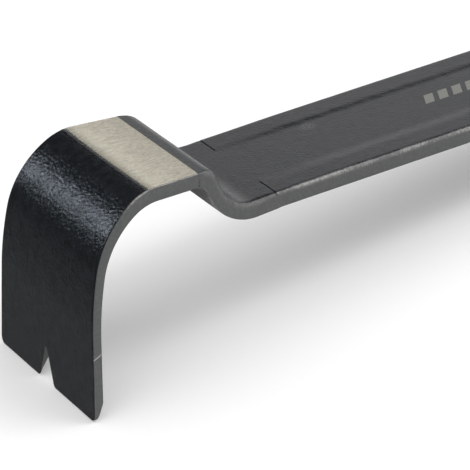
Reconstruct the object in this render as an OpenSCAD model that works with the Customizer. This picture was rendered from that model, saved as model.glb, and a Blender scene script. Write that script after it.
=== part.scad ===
// Flat pry bar, forged in one piece: a hooked claw, a raised crown with a ground striking
// face, a gooseneck, a shank with low edge ribs, a keyhole nail puller and a flat claw.
//
// Every node is one named stretch of the forging. Neighbours meet face to face.
// The side outline is drawn in the bar's own plane: x runs along the shank away from the
// hook and z = 0 is the top of the shank. The finished bar is then laid on its two feet,
// the tips of the hooked claw and the underside of the flat blade.

/* [Shank] */
// Width of the shank
shank_w = 45; // [38:0.5:52]
// Thickness of the shank between its ribs
web_t = 4.7; // [3.8:0.1:6]
// Length of the ribbed shank
shank_len = 214; // [160:1:260]
// Height of the edge ribs above the shank's top
rib_h = 0.3; // [0.1:0.1:0.8]
// Width of each edge rib
rib_w = 9.5; // [5:0.5:13]

/* [Gooseneck] */
// Flat stretch between the ribs and the rising neck
neck_flat = 7; // [3:0.5:15]
// Radius of the hollow where the neck starts to rise
neck_r = 9.8; // [6:0.2:16]
// Turn at the foot of the neck, in degrees
neck_turn = 71.5; // [55:0.5:75]
// Straight part of the rising neck
ramp_len = 4.8; // [3.5:0.1:9]
// Radius of the crown where the neck meets the striking face
crown_r = 3.9; // [3:0.1:8]
// Turn over the crown, in degrees
crown_turn = 68; // [52:0.5:72]
// Coated flat between the crown and the ground face
crown_flat = 2.1; // [1:0.1:4]
// Radius of the fillet under the crown
throat_r = 3; // [1.5:0.1:3.5]

/* [Striking face] */
// Flat length of the ground face
face_flat = 12.9; // [10:0.1:20]
// How far the ground face runs into the hook's bend, in degrees
face_over = 10; // [4:1:14]
// Thickness of the bar under the ground face
face_t = 4.2; // [3.6:0.1:5.5]

/* [Hook] */
// Outer radii of the hook's three curves, from the striking face down
hook_r = [15.3, 29, 103];
// Inner radii of the same curves, which thin the bar towards the blade
hook_inner_r = [13.4, 25.2, 100];
// Turns of the three curves, in degrees
hook_turn = [32, 44, 10];
// Straight length of the claw blade, to its tips
blade_len = 23.2; // [18:0.2:34]
// Length of the straight blade that belongs to the bend
blade_root = 4; // [2:0.5:8]
// Length of the bevel inside the tips
tip_bevel = 5; // [3:0.5:8]
// Thickness of the tips
tip_t = 0.9; // [0.6:0.1:1.5]
// Half the widening of the head for each mm away from the shank
flare_out = 0.09; // [0.02:0.01:0.14]
// Half the widening of the head for each mm downwards
flare_down = 0.032; // [0:0.004:0.06]

/* [Nail slots] */
// Width of the hooked claw's slot at its mouth
claw_slot_w = 8.2; // [7:0.2:14]
// Depth of the hooked claw's slot
claw_slot_len = 10.4; // [8:0.2:16]
// Width of the flat claw's slot at its mouth
flat_slot_w = 11; // [7:0.5:14]
// Depth of the flat claw's slot
flat_slot_len = 18; // [12:0.5:24]
// Radius at the root of both slots
slot_root_r = 0.9; // [0.6:0.1:1.5]

/* [Nail hole] */
// Length of the plain shank that holds the keyhole
hole_section_len = 46; // [36:1:60]
// Radius of the keyhole's round end
hole_r = 6.5; // [5:0.25:8]
// Distance from the ribs' end to the centre of the round end
hole_lead = 30; // [24:1:34]
// Reach of the narrow end from the centre of the round end
hole_reach = 17; // [14:0.5:20]
// Half width of the narrow part at the round end
hole_neck = 3.4; // [2.8:0.1:4]
// Radius of the narrow end
hole_tip_r = 2.4; // [2:0.1:3]

/* [Flat end] */
// Radius on top of the bend that lays the blade flat
foot_r = 110; // [80:5:160]
// Length of the flat blade, from the bend to its edge
flat_len = 38.7; // [32:0.1:60]
// Length of the flat blade's bevel
flat_bevel = 12; // [8:0.5:20]
// Thickness of the flat blade where its bevel starts
flat_t = 3.6; // [2.8:0.1:4.5]
// Half the widening of the flat end for each mm
flat_flare = 0.075; // [0.02:0.005:0.12]

/* [Hidden] */

coated = [0.16, 0.17, 0.18];
ground = [0.71, 0.69, 0.64];
arc_step = 3;       // degrees between the points of an arc
big = 600;          // longer than the bar
past = 1;           // how far a cutter runs past a face
slot_lap = 0.3;     // how far a slot's sides run on inside its root
$fn = 96;

// ---- Paths. A state is [x, z, heading]; a leg is [length, 0] or [radius, turn]. ----

function ahead(s, d) = [s[0] + d * cos(s[2]), s[1] + d * sin(s[2]), s[2]];

function inside(s, d) = [s[0] - d * sin(s[2]), s[1] + d * cos(s[2]), s[2]];

function swept(s, r, a) =
    let (side = a < 0 ? -90 : 90)
    [s[0] + r * (cos(s[2] + side) + cos(s[2] + a - side)),
     s[1] + r * (sin(s[2] + side) + sin(s[2] + a - side)),
     s[2] + a];

function after(s, leg) = leg[1] == 0 ? ahead(s, leg[0]) : swept(s, leg[0], leg[1]);

function state(s, legs, n) = n == 0 ? s : after(state(s, legs, n - 1), legs[n - 1]);

function flat_point(s) = [s[0], s[1]];

function leg_points(s, leg) =
    leg[1] == 0 ? [flat_point(s)]
    : let (n = ceil(abs(leg[1]) / arc_step))
      [for (i = [0 : n - 1]) flat_point(swept(s, leg[0], leg[1] * i / n))];

function path_points(s, legs) =
    [for (i = [0 : len(legs) - 1]) each leg_points(state(s, legs, i), legs[i]),
     flat_point(state(s, legs, len(legs)))];

// Length still to go from state s to point p, along the heading of s
function to_go(s, p) = (p[0] - s[0]) * cos(s[2]) + (p[1] - s[1]) * sin(s[2]);

// ---- Head: from the ribs' end, heading -x, over the crown and down to the claw ----

head_top = [0, 0, 180];
head_under = [0, -web_t, 180];

top_legs = [
    [neck_flat, 0],
    [neck_r, -neck_turn],
    [ramp_len, 0],
    [crown_r, crown_turn],
    [crown_flat, 0],
    [face_flat, 0],
    [hook_r[0], face_over],
    [hook_r[0], hook_turn[0] - face_over],
    [hook_r[1], hook_turn[1]],
    [hook_r[2], hook_turn[2]],
    [blade_len, 0]
];

face_start = state(head_top, top_legs, 5);
face_end = state(head_top, top_legs, 7);
blade_start = ahead(state(head_top, top_legs, 10), blade_root);
claw_tip = state(head_top, top_legs, 11);
claw_split = ahead(claw_tip, -claw_slot_len + slot_root_r);

// Where the under side of the neck meets the under side of the face, from the outer corner
crown_reach = tan(crown_turn / 2);
corner_back = (web_t * cos(crown_turn) - face_t) / sin(crown_turn);
corner_on = corner_back * cos(crown_turn) + web_t * sin(crown_turn);

bend_legs = [
    [neck_flat, 0],
    [neck_r + web_t, -neck_turn],
    [ramp_len + (crown_r - throat_r) * crown_reach + corner_back, 0],
    [throat_r, crown_turn],
    [crown_flat + face_flat + (crown_r - throat_r) * crown_reach - corner_on, 0],
    [hook_inner_r[0], hook_turn[0]],
    [hook_inner_r[1], hook_turn[1]],
    [hook_inner_r[2], hook_turn[2]]
];
inner_blade = state(head_under, bend_legs, len(bend_legs));
under_legs = concat(bend_legs, [[to_go(inner_blade, claw_tip) - tip_bevel, 0]]);
tip_inner = inside(claw_tip, tip_t);

head_outline = concat(
    path_points(head_top, top_legs),
    [flat_point(tip_inner)],
    let (u = path_points(head_under, under_legs)) [for (i = [len(u) - 1 : -1 : 0]) u[i]]);

// ---- Tail: from the ribs' end, heading +x ----

foot_x = shank_len + hole_section_len;
foot_under_r = foot_r + web_t;

// The bar rests on the claw's tips and on the flat blade, so the line that touches both
// gives the turn of the foot bend, and the tilt of the shank
foot_dx = foot_x - tip_inner[0];
foot_dz = foot_r - tip_inner[1];
rest_tilt = atan2(foot_dz, foot_dx) - asin(foot_under_r / norm([foot_dx, foot_dz]));

// A point [x, z] of the bar's plane, as the bar lies
function laid(s) = [s[0] * cos(rest_tilt) + s[1] * sin(rest_tilt),
                    s[1] * cos(rest_tilt) - s[0] * sin(rest_tilt)];

foot_end = swept([foot_x, -web_t, 0], foot_under_r, rest_tilt);
low_x = laid(claw_tip)[0];
high_x = laid(foot_end)[0] + flat_len;
flat_split = flat_len - flat_slot_len + slot_root_r;
row_dx = -(low_x + high_x) / 2;
row_dz = -laid(tip_inner)[1];

// ---- Placing and cutting ----

// From the bar's plane, drawn in x and y, to the row's frame
module lay_down() {
    translate([row_dx, 0, row_dz]) rotate([0, rest_tilt, 0]) children();
}

// A side outline, given the width of the stock
module stock(width) {
    rotate([90, 0, 0]) linear_extrude(width, center = true) children();
}

// Everything ahead of state s in the bar's plane
module ahead_of(s) {
    translate([s[0], s[1]]) rotate(s[2]) translate([0, -big]) square([big, 2 * big]);
}

// The head's outline between two states
module head_part(from, to) {
    difference() {
        intersection() {
            polygon(head_outline);
            ahead_of(from);
        }
        ahead_of(to);
    }
}

// Cuts both sides along the spreading planes of the head or of the flat end
module spread_sides(x0, out, down) {
    lean = asin(down / norm([1, out, down]));
    difference() {
        children();
        for (side = [0, 1]) mirror([0, side, 0])
            translate([x0, shank_w / 2, 0]) rotate([lean, 0, -atan(out)])
                translate([-big, 0, -big]) cube([2 * big, big, 2 * big]);
    }
}

module head_body() {
    spread_sides(0, flare_out, flare_down) stock(2 * shank_w) children();
}

// The sloping sides of a nail slot, cut along -x from its mouth at x = 0. They run on a little
// inside the root, so that they cross the plane where the prongs part from the blade
module slot_sides(mouth, depth) {
    slope = (mouth / 2 - slot_root_r) / (depth - slot_root_r);
    root_x = -depth + slot_root_r - slot_lap;
    root_y = slot_root_r - slope * slot_lap;
    linear_extrude(2 * big, center = true)
        polygon([[past, -mouth / 2], [0, -mouth / 2], [root_x, -root_y],
                 [root_x, root_y], [0, mouth / 2], [past, mouth / 2]]);
}

// The round root of the same slot
module slot_root(depth) {
    translate([-depth + slot_root_r, 0, -big]) cylinder(h = 2 * big, r = slot_root_r);
}

// From a slot's own frame to the hooked claw's tips
module at_claw_tip() {
    translate([claw_tip[0], 0, claw_tip[1]]) rotate([0, -claw_tip[2], 0]) children();
}

// Keeps one side of the bar: side is 1 for left (+y), -1 for right
module one_side(side) {
    intersection() {
        children();
        translate([-big, side > 0 ? 0 : -big, -big]) cube([2 * big, big, 2 * big]);
    }
}

// ---- Head parts ----

module claw(side) {
    color(coated) lay_down() one_side(side) difference() {
        head_body() head_part(claw_split, ahead(claw_tip, past));
        at_claw_tip() slot_sides(claw_slot_w, claw_slot_len);
    }
}

module left_claw() { claw(1); }

module right_claw() { claw(-1); }

module claw_blade() {
    color(coated) lay_down() difference() {
        head_body() head_part(blade_start, claw_split);
        at_claw_tip() slot_root(claw_slot_len);
    }
}

module hook_bend() {
    color(coated) lay_down() head_body() head_part(face_end, blade_start);
}

module striking_face() {
    color(ground) lay_down() head_body() head_part(face_start, face_end);
}

module gooseneck() {
    color(coated) lay_down() head_body() head_part(head_top, face_start);
}

// ---- Shank and nail hole ----

module shank() {
    color(coated) lay_down() {
        translate([0, -shank_w / 2, -web_t]) cube([shank_len, shank_w, web_t]);
        for (y = [-shank_w / 2, shank_w / 2 - rib_w])
            translate([0, y, -web_t]) cube([shank_len, rib_w, web_t + rib_h]);
    }
}

module keyhole() {
    translate([shank_len + hole_lead, 0, -web_t - past]) {
        cylinder(h = web_t + 2 * past, r = hole_r);
        translate([-hole_reach + hole_tip_r, 0, 0]) cylinder(h = web_t + 2 * past, r = hole_tip_r);
        linear_extrude(web_t + 2 * past)
            polygon([[0, -hole_neck], [0, hole_neck], [-hole_reach + hole_tip_r, hole_tip_r],
                     [-hole_reach + hole_tip_r, -hole_tip_r]]);
    }
}

module nail_hole_section() {
    color(coated) lay_down() difference() {
        spread_sides(shank_len, -flat_flare, 0)
            translate([shank_len, -shank_w, -web_t]) cube([hole_section_len, 2 * shank_w, web_t]);
        keyhole();
    }
}

// ---- Flat end ----

flat_bevel_at = flat_len - flat_bevel;

module foot_bend() {
    under = path_points([foot_x, -web_t, 0], [[foot_under_r, rest_tilt]]);
    top = path_points([foot_x, 0, 0], [[foot_r, rest_tilt]]);
    color(coated) lay_down() spread_sides(shank_len, -flat_flare, 0) stock(2 * shank_w)
        polygon(concat(under, [for (i = [len(top) - 1 : -1 : 0]) top[i]]));
}

// The flat blade from the foot bend to its edge, cut to a stretch of its length. The children
// are cut out of it, placed from its edge
module flat_body(from, to) {
    color(coated) lay_down() difference() {
        spread_sides(shank_len, -flat_flare, 0) stock(2 * shank_w)
            translate([foot_end[0], foot_end[1]]) rotate(rest_tilt) intersection() {
                polygon([[0, 0], [flat_len, 0], [flat_len, tip_t], [flat_bevel_at, flat_t],
                         [0, web_t]]);
                translate([from, -past]) square([to - from, web_t + 2 * past]);
            }
        translate([foot_end[0], 0, foot_end[1]]) rotate([0, -rest_tilt, 0])
            translate([flat_len, 0, 0]) children();
    }
}

module flat_blade() { flat_body(0, flat_split) slot_root(flat_slot_len); }

module tine(side) {
    one_side(side) flat_body(flat_split, flat_len) slot_sides(flat_slot_w, flat_slot_len);
}

module left_tine() { tine(1); }

module right_tine() { tine(-1); }

left_claw();
right_claw();
claw_blade();
hook_bend();
striking_face();
gooseneck();
shank();
nail_hole_section();
foot_bend();
flat_blade();
left_tine();
right_tine();
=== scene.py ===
"""Flat pry bar: the looks of one steel forging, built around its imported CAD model.

The bar is drawn in its own plane, in millimetres: x runs along the shank away from the hook,
y to the left, and z = 0 is the top of the shank. Each stretch starts as straight stock with
rounded long edges, which is bent ring by ring along the bar's two outlines. Layout.laid
then lays it on its two feet, in the row's frame and in metres.
"""

import logging
import math
from dataclasses import dataclass
from enum import Enum

import bmesh
import bpy
from mathutils import Matrix, Vector, noise

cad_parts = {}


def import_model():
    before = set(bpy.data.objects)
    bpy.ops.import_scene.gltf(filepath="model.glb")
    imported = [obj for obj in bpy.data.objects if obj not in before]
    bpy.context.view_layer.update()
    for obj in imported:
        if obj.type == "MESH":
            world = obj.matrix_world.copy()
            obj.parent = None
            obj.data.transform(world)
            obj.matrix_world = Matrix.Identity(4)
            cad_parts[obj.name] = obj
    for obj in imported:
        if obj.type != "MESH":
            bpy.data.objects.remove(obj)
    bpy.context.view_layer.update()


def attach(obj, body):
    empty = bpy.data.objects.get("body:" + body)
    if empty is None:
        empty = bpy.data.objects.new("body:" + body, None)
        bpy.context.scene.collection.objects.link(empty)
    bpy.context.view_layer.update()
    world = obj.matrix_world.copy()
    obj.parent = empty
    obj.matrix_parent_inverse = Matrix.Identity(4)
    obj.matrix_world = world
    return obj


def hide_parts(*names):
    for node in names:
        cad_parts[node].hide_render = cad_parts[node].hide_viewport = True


LOG = logging.getLogger("pry_bar")
MM = 0.001
BODY = "root"
FACE_LEG = 5  # the ground face's number among the legs of the head's outlines
BLADE_LEG = 9  # the straight blade's number among them
ROOT_SHARES = (0.25, 0.5, 0.75, 1.0)  # the rings that are drawn round a slot's root

Socket = bpy.types.NodeSocket
Colour = tuple[float, float, float]


class Slot(Enum):
    """The record's material slots."""

    COATING = "black_coating"
    STEEL = "ground_steel"


class Side(Enum):
    """The two sides of the bar, by the sign of y."""

    LEFT = 1
    RIGHT = -1


def eased(low: float, high: float, value: float) -> float:
    """Rises smoothly from 0 to 1.

    Args:
        low: Where the rise starts.
        high: Where it ends.
        value: Where it is read.

    Returns:
        A number from 0 to 1.
    """
    share = min(1.0, max(0.0, (value - low) / (high - low)))
    return share * share * (3.0 - 2.0 * share)


def between(low: float, high: float, share: float) -> float:
    """Returns the value a share of the way from low to high."""
    return low + (high - low) * share


def shaded(colour: Colour, share: float) -> Colour:
    """Returns a colour made lighter or darker."""
    return tuple(share * part for part in colour)


# ---------------------------------------------------------------- outlines


@dataclass(frozen=True)
class Place:
    """A place on an outline in the bar's plane, in millimetres, with its heading in degrees."""

    x: float
    z: float
    heading: float

    def ahead(self, distance: float) -> "Place":
        """Returns the place a distance further along the heading."""
        a = math.radians(self.heading)
        return Place(self.x + distance * math.cos(a), self.z + distance * math.sin(a), self.heading)

    def inside(self, distance: float) -> "Place":
        """Returns the place a distance to the left of the heading."""
        a = math.radians(self.heading)
        return Place(self.x - distance * math.sin(a), self.z + distance * math.cos(a), self.heading)

    def swept(self, radius: float, turn: float) -> "Place":
        """Goes round an arc.

        Args:
            radius: Radius of the arc.
            turn: Turn in degrees, positive to the left.

        Returns:
            The place at the end of the arc.
        """
        side = -90.0 if turn < 0 else 90.0
        a = math.radians(self.heading + side)
        b = math.radians(self.heading + turn - side)
        return Place(self.x + radius * (math.cos(a) + math.cos(b)),
                     self.z + radius * (math.sin(a) + math.sin(b)), self.heading + turn)

    def past(self, other: "Place") -> float:
        """Returns how far the other place lies along this heading."""
        a = math.radians(self.heading)
        return (other.x - self.x) * math.cos(a) + (other.z - self.z) * math.sin(a)


@dataclass(frozen=True)
class Leg:
    """A straight or curved part of an outline."""

    size: float
    turn: float = 0.0

    def after(self, start: Place, share: float = 1.0) -> Place:
        """Follows the leg.

        Args:
            start: Where the leg starts.
            share: How much of the leg to follow, from 0 to 1.

        Returns:
            The place that is reached.
        """
        if self.turn == 0:
            return start.ahead(self.size * share)
        return start.swept(self.size, self.turn * share)

    def length(self) -> float:
        """Returns the leg's length."""
        return self.size if self.turn == 0 else self.size * math.radians(abs(self.turn))


@dataclass(frozen=True)
class Course:
    """An outline that follows its legs one after another."""

    start: Place
    legs: tuple[Leg, ...]

    def at(self, number: int, share: float = 0.0) -> Place:
        """Finds a place on the outline.

        Args:
            number: Number of the leg.
            share: How far along that leg, from 0 to 1.

        Returns:
            The place.
        """
        place = self.start
        for leg in self.legs[:number]:
            place = leg.after(place)
        return self.legs[number].after(place, share) if number < len(self.legs) else place

    def reached(self, first: int, distance: float) -> Place:
        """Finds the place a distance after the start of a leg.

        Args:
            first: Number of that leg.
            distance: Distance along the outline.

        Returns:
            The place.
        """
        place = self.at(first)
        for leg in self.legs[first:]:
            if distance <= leg.length() + 1e-9:
                return leg.after(place, distance / leg.length())
            distance -= leg.length()
            place = leg.after(place)
        return place.ahead(distance)

    def opposite(self, place: Place, first: int, reach: float) -> Place:
        """Finds the place on this outline that lies square across from a place on another.

        Args:
            place: The place on the other outline.
            first: Number of the leg where the search starts.
            reach: How far along this outline the search goes.

        Returns:
            The place on this outline.
        """
        low, high = 0.0, reach
        for _ in range(40):
            middle = (low + high) / 2
            if place.past(self.reached(first, middle)) < 0:
                low = middle
            else:
                high = middle
        return self.reached(first, (low + high) / 2)


@dataclass(frozen=True)
class Ring:
    """One cross-section of the bar."""

    top: Place
    under: Place
    along: float
    round_top: float = 0.5
    round_under: float = 0.5
    slot_edge: float | None = None
    pulled_in: float = 0.0
    slot_opened: float = 0.0
    shift: float = 0.0
    splay: float = 0.0

    def down(self) -> Vector:
        """Returns the vector from the top to the underside, in the bar's plane."""
        return Vector((self.under.x - self.top.x, 0.0, self.under.z - self.top.z))

    def slot_side(self, depth: float) -> float:
        """Returns how far from the middle the slot's side lies, at a share of the depth."""
        return self.slot_edge + self.slot_opened + self.splay * max(0.0, min(1.0, depth))

    def forward(self) -> Vector:
        """Returns the direction in which the outline runs."""
        a = math.radians(self.top.heading)
        return Vector((math.cos(a), 0.0, math.sin(a)))


@dataclass(frozen=True)
class ForgedBar:
    """The sizes that every stretch of the bar shares, in millimetres and degrees."""

    shank_w: float = 45.0
    web_t: float = 4.7
    shank_len: float = 214.0
    rib_h: float = 0.3
    rib_w: float = 9.5
    neck_flat: float = 7.0
    neck_r: float = 9.8
    neck_turn: float = 71.5
    ramp_len: float = 4.8
    crown_r: float = 3.9
    crown_turn: float = 68.0
    crown_flat: float = 2.1
    throat_r: float = 3.0
    face_flat: float = 12.9
    face_over: float = 10.0
    face_t: float = 4.2
    hook_r: tuple[float, ...] = (15.3, 29.0, 103.0)
    hook_inner_r: tuple[float, ...] = (13.4, 25.2, 100.0)
    hook_turn: tuple[float, ...] = (32.0, 44.0, 10.0)
    blade_len: float = 23.2
    blade_root: float = 4.0
    tip_bevel: float = 5.0
    tip_t: float = 0.9
    flare_out: float = 0.09
    flare_down: float = 0.032
    claw_slot_w: float = 8.2
    claw_slot_len: float = 10.4
    nick_up: float = 17.8
    flat_slot_w: float = 11.0
    flat_slot_len: float = 18.0
    slot_root_r: float = 0.9
    hole_section_len: float = 46.0
    hole_r: float = 6.5
    hole_lead: float = 30.0
    hole_reach: float = 17.0
    hole_neck: float = 3.4
    hole_tip_r: float = 2.4
    foot_r: float = 110.0
    flat_len: float = 38.7
    flat_bevel: float = 12.0
    flat_t: float = 3.6
    flat_flare: float = 0.075

    def top(self) -> Course:
        """Draws the head's top outline.

        Returns:
            The outline, from the ribs' end to the claw's tips.
        """
        legs = (Leg(self.neck_flat), Leg(self.neck_r, -self.neck_turn), Leg(self.ramp_len),
                Leg(self.crown_r, self.crown_turn), Leg(self.crown_flat), Leg(self.face_flat),
                Leg(self.hook_r[0], self.hook_turn[0]), Leg(self.hook_r[1], self.hook_turn[1]),
                Leg(self.hook_r[2], self.hook_turn[2]), Leg(self.blade_len))
        return Course(Place(0.0, 0.0, 180.0), legs)

    def under(self) -> Course:
        """Draws the head's lower outline.

        Returns:
            The outline, from the ribs' end to the bevel inside the tips.
        """
        turn = math.radians(self.crown_turn)
        reach = (self.crown_r - self.throat_r) * math.tan(turn / 2)
        back = (self.web_t * math.cos(turn) - self.face_t) / math.sin(turn)
        on = back * math.cos(turn) + self.web_t * math.sin(turn)
        bend = (Leg(self.neck_flat), Leg(self.neck_r + self.web_t, -self.neck_turn),
                Leg(self.ramp_len + reach + back), Leg(self.throat_r, self.crown_turn),
                Leg(self.crown_flat + reach - on), Leg(self.face_flat),
                Leg(self.hook_inner_r[0], self.hook_turn[0]),
                Leg(self.hook_inner_r[1], self.hook_turn[1]),
                Leg(self.hook_inner_r[2], self.hook_turn[2]))
        start = Place(0.0, -self.web_t, 180.0)
        blade = Course(start, bend).at(len(bend))
        return Course(start, bend + (Leg(blade.past(self.claw_tip()) - self.tip_bevel),))

    def claw_tip(self) -> Place:
        """Returns the outer edge of the hooked claw's tips."""
        return self.top().at(len(self.top().legs))

    def tip_inner(self) -> Place:
        """Returns the inner edge of the hooked claw's tips."""
        return self.claw_tip().inside(self.tip_t)

    def foot_x(self) -> float:
        """Returns where the foot bend starts."""
        return self.shank_len + self.hole_section_len

    def rest_tilt(self) -> float:
        """Finds how the bar rests on its tips and its flat blade.

        Returns:
            The shank's tilt in degrees.
        """
        dx = self.foot_x() - self.tip_inner().x
        dz = self.foot_r - self.tip_inner().z
        lean = math.asin((self.foot_r + self.web_t) / math.hypot(dx, dz))
        return math.degrees(math.atan2(dz, dx) - lean)

    def turned(self, x: float, z: float) -> tuple[float, float]:
        """Turns a point of the bar's plane by the rest tilt."""
        a = math.radians(self.rest_tilt())
        return x * math.cos(a) + z * math.sin(a), z * math.cos(a) - x * math.sin(a)

    def foot_end(self) -> Place:
        """Returns the underside's place where the foot bend ends."""
        start = Place(self.foot_x(), -self.web_t, 0.0)
        return start.swept(self.foot_r + self.web_t, self.rest_tilt())

    def offset(self) -> tuple[float, float]:
        """Centres the tilted bar and sets it on the floor.

        Returns:
            The shift along x and z.
        """
        low = self.turned(self.claw_tip().x, self.claw_tip().z)[0]
        high = self.turned(self.foot_end().x, self.foot_end().z)[0] + self.flat_len
        floor = self.turned(self.tip_inner().x, self.tip_inner().z)[1]
        return -(low + high) / 2, -floor

    def half_width(self, x: float, z: float) -> float:
        """Widens the bar towards both ends.

        Args:
            x: The point's place along the shank.
            z: Its height above the shank's top.

        Returns:
            Half the bar's width there.
        """
        if x <= 0:
            return self.shank_w / 2 - self.flare_out * x - self.flare_down * z
        return self.shank_w / 2 + self.flat_flare * max(0.0, x - self.shank_len)

    def ground_len(self) -> float:
        """Returns the length of the ground face along the top outline."""
        return self.face_flat + self.hook_r[0] * math.radians(self.face_over)


class Layout:
    """Carries the bar's own frame into the row's frame."""

    def __init__(self, bar: ForgedBar) -> None:
        """Works out the tilt and the shift once.

        Args:
            bar: The shared sizes.
        """
        self.tilt = math.radians(bar.rest_tilt())
        self.bar = bar
        dx, dz = bar.offset()
        self.matrix = (Matrix.Translation(Vector((dx, 0.0, dz)) * MM)
                       @ Matrix.Rotation(self.tilt, 4, "Y") @ Matrix.Scale(MM, 4))

    def laid(self, point: Vector) -> Vector:
        """Returns a point of the bar's frame in the row's frame."""
        return self.matrix @ point


# ---------------------------------------------------------------- finishes


@dataclass
class Nodes:
    """A node tree with short ways to add nodes and join them."""

    tree: bpy.types.NodeTree

    def add(self, kind: str, **settings: object) -> bpy.types.Node:
        """Adds a node.

        Args:
            kind: The node's type.
            settings: Properties to set on it.

        Returns:
            The node.
        """
        node = self.tree.nodes.new(kind)
        for name, value in settings.items():
            setattr(node, name, value)
        return node

    def join(self, source: Socket, target: Socket) -> None:
        """Joins two sockets."""
        self.tree.links.new(source, target)

    def math(self, operation: str, *terms: object, clamp: bool = False) -> Socket:
        """Adds a Math node.

        Args:
            operation: The node's operation.
            terms: Sockets or numbers.
            clamp: Whether the result is kept from 0 to 1.

        Returns:
            The result.
        """
        node = self.add("ShaderNodeMath", operation=operation, use_clamp=clamp)
        for socket, term in zip(node.inputs, terms):
            if isinstance(term, Socket):
                self.join(term, socket)
            else:
                socket.default_value = term
        return node.outputs[0]

    def times(self, *terms: object, clamp: bool = False) -> Socket:
        """Multiplies terms.

        Args:
            terms: Two or more sockets or numbers.
            clamp: Whether the product is kept from 0 to 1.

        Returns:
            The product.
        """
        product = terms[0]
        for term in terms[1:]:
            product = self.math("MULTIPLY", product, term, clamp=clamp)
        return product

    def axes(self, place: Socket) -> list[Socket]:
        """Parts a place.

        Args:
            place: The place.

        Returns:
            Its x, y and z.
        """
        split = self.add("ShaderNodeSeparateXYZ")
        self.join(place, split.inputs["Vector"])
        return list(split.outputs)

    def ramp(self, value: Socket, low: float, high: float,
             start: float = 0.0, end: float = 1.0) -> Socket:
        """Maps a range smoothly to another.

        Args:
            value: The value to map.
            low: Where the range starts.
            high: Where it ends.
            start: Result at low.
            end: Result at high.

        Returns:
            The result.
        """
        node = self.add("ShaderNodeMapRange", interpolation_type="SMOOTHSTEP")
        self.join(value, node.inputs["Value"])
        node.inputs["From Min"].default_value = low
        node.inputs["From Max"].default_value = high
        node.inputs["To Min"].default_value = start
        node.inputs["To Max"].default_value = end
        return node.outputs["Result"]

    def within(self, value: Socket, low: float, high: float, soft: float) -> Socket:
        """Finds what lies between two limits.

        Args:
            value: The value to test.
            low: Where the result starts to rise.
            high: Where it starts to fall.
            soft: How long each change takes.

        Returns:
            1 between the limits.
        """
        rise = self.ramp(value, low, low + soft)
        return self.times(rise, self.ramp(value, high, high + soft, 1.0, 0.0))

    def noise(self, place: Socket, scale: float, detail: float = 2.0,
              roughness: float = 0.5) -> Socket:
        """Adds a noise pattern.

        Args:
            place: The coordinates.
            scale: Grains for each unit of length.
            detail: Octaves.
            roughness: Weight of the fine octaves.

        Returns:
            The noise, about 0.5.
        """
        node = self.add("ShaderNodeTexNoise")
        self.join(place, node.inputs["Vector"])
        node.inputs["Scale"].default_value = scale
        node.inputs["Detail"].default_value = detail
        node.inputs["Roughness"].default_value = roughness
        return node.outputs["Fac"]

    def blend(self, share: Socket, first: object,
              second: object) -> Socket:
        """Mixes two colours.

        Args:
            share: How much of the second.
            first: A colour or a socket.
            second: A colour or a socket.

        Returns:
            The mixed colour.
        """
        node = self.add("ShaderNodeMix", data_type="RGBA")
        self.join(share, node.inputs[0])
        for socket, value in ((node.inputs[6], first), (node.inputs[7], second)):
            if isinstance(value, Socket):
                self.join(value, socket)
            else:
                socket.default_value = (*value, 1.0)
        return node.outputs[2]

    def attribute(self, name: str) -> Socket:
        """Returns a mesh attribute's value."""
        return self.add("ShaderNodeAttribute", attribute_name=name).outputs["Fac"]


@dataclass(frozen=True)
class Surface:
    """The bar's surface as its finish sees it, in the bar's own frame and millimetres."""

    nodes: Nodes
    place: Socket

    @classmethod
    def lying(cls, nodes: Nodes, layout: Layout) -> "Surface":
        """Turns the object's coordinates back to the bar's own.

        Args:
            nodes: The finish's nodes.
            layout: Where the bar lies, which turns the patterns with it.

        Returns:
            The surface.
        """
        turn = nodes.add("ShaderNodeMapping", vector_type="TEXTURE")
        location, rotation, _ = layout.matrix.decompose()
        turn.inputs["Location"].default_value = location
        turn.inputs["Rotation"].default_value = rotation.to_euler()
        turn.inputs["Scale"].default_value = (MM, MM, MM)
        nodes.join(nodes.add("ShaderNodeTexCoord").outputs["Object"], turn.inputs["Vector"])
        return cls(nodes, turn.outputs["Vector"])

    def noise(self, scale: float, detail: float = 2.0, roughness: float = 0.5) -> Socket:
        """Returns a noise pattern, with a scale in grains for each millimetre."""
        return self.nodes.noise(self.place, scale, detail, roughness)

    def measured(self, way: Vector, start: Place) -> Socket:
        """Measures how far the surface lies from a start, one way.

        Args:
            way: The direction.
            start: The place that is measured from.

        Returns:
            The distance.
        """
        node = self.nodes.add("ShaderNodeVectorMath", operation="DOT_PRODUCT")
        self.nodes.join(self.place, node.inputs[0])
        node.inputs[1].default_value = way
        return self.nodes.math("SUBTRACT", node.outputs["Value"], way.x * start.x + way.z * start.z)

    def ground_lines(self, scale: float, detail: float) -> Socket:
        """Makes the fine lines that grinding leaves, drawn out along the bar.

        Args:
            scale: Lines for each unit of the drawn-out length.
            detail: Octaves.

        Returns:
            The pattern.
        """
        node = self.nodes.add("ShaderNodeMapping")
        self.nodes.join(self.place, node.inputs["Vector"])
        node.inputs["Rotation"].default_value = (0.0, 0.0, math.radians(-9.0))
        node.inputs["Scale"].default_value = (0.35, 2.4, 1.0)
        return self.nodes.noise(node.outputs["Vector"], scale, detail, 0.7)


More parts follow.
